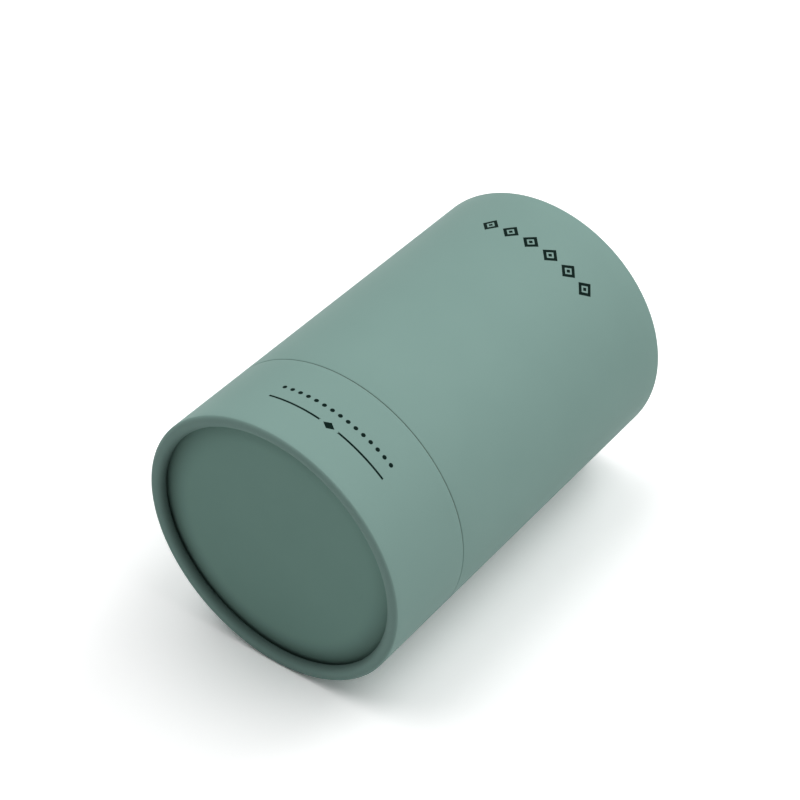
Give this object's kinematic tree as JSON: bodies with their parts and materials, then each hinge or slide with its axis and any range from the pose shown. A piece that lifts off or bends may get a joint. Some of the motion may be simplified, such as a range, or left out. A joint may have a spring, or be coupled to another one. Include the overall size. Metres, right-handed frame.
{
  "type": "cylindrical gift tube box",
  "caption": "Round paper-board gift tube with a lift-off lid over an inner neck, rolled rims, recessed end discs and a foam bottle insert.",
  "frame": {"origin": "centre of the bottom of the base, in the plane of its rolled rim", "axes": "+Z along the tube's axis from the base to the lid; the printed side faces -Y"},
  "size_m": [0.08, 0.08, 0.124],
  "materials": {
    "board": "raw wound board, matt",
    "printed_paper": "smooth matt laminated paper, sage green",
    "disc_paper": "smooth matt laminated paper, sage green",
    "neck_paper": "smooth matt laminated paper, sage green",
    "lining_paper": "uncoated white paper",
    "insert_card": "smooth matt card, sage green",
    "insert_foam": "closed-cell foam, matt black"
  },
  "bodies": {
    "base": {"base_tube": "board", "base_skin": "printed_paper", "base_disc": "board", "base_disc_paper": "disc_paper", "neck_tube": "board", "neck_wrap": "neck_paper", "insert_foam": "insert_foam", "insert_card": "insert_card"},
    "lid": {"lid_tube": "board", "lid_skin": "printed_paper", "lid_lining": "lining_paper", "lid_disc": "board", "lid_disc_paper": "disc_paper", "lid_disc_lining": "lining_paper"}
  },
  "joints": [
    {"name": "lid_lift", "type": "slide", "parent": "base", "child": "lid", "axis": [0, 0, 1], "range_m": [0, 0.06]}
  ]
}
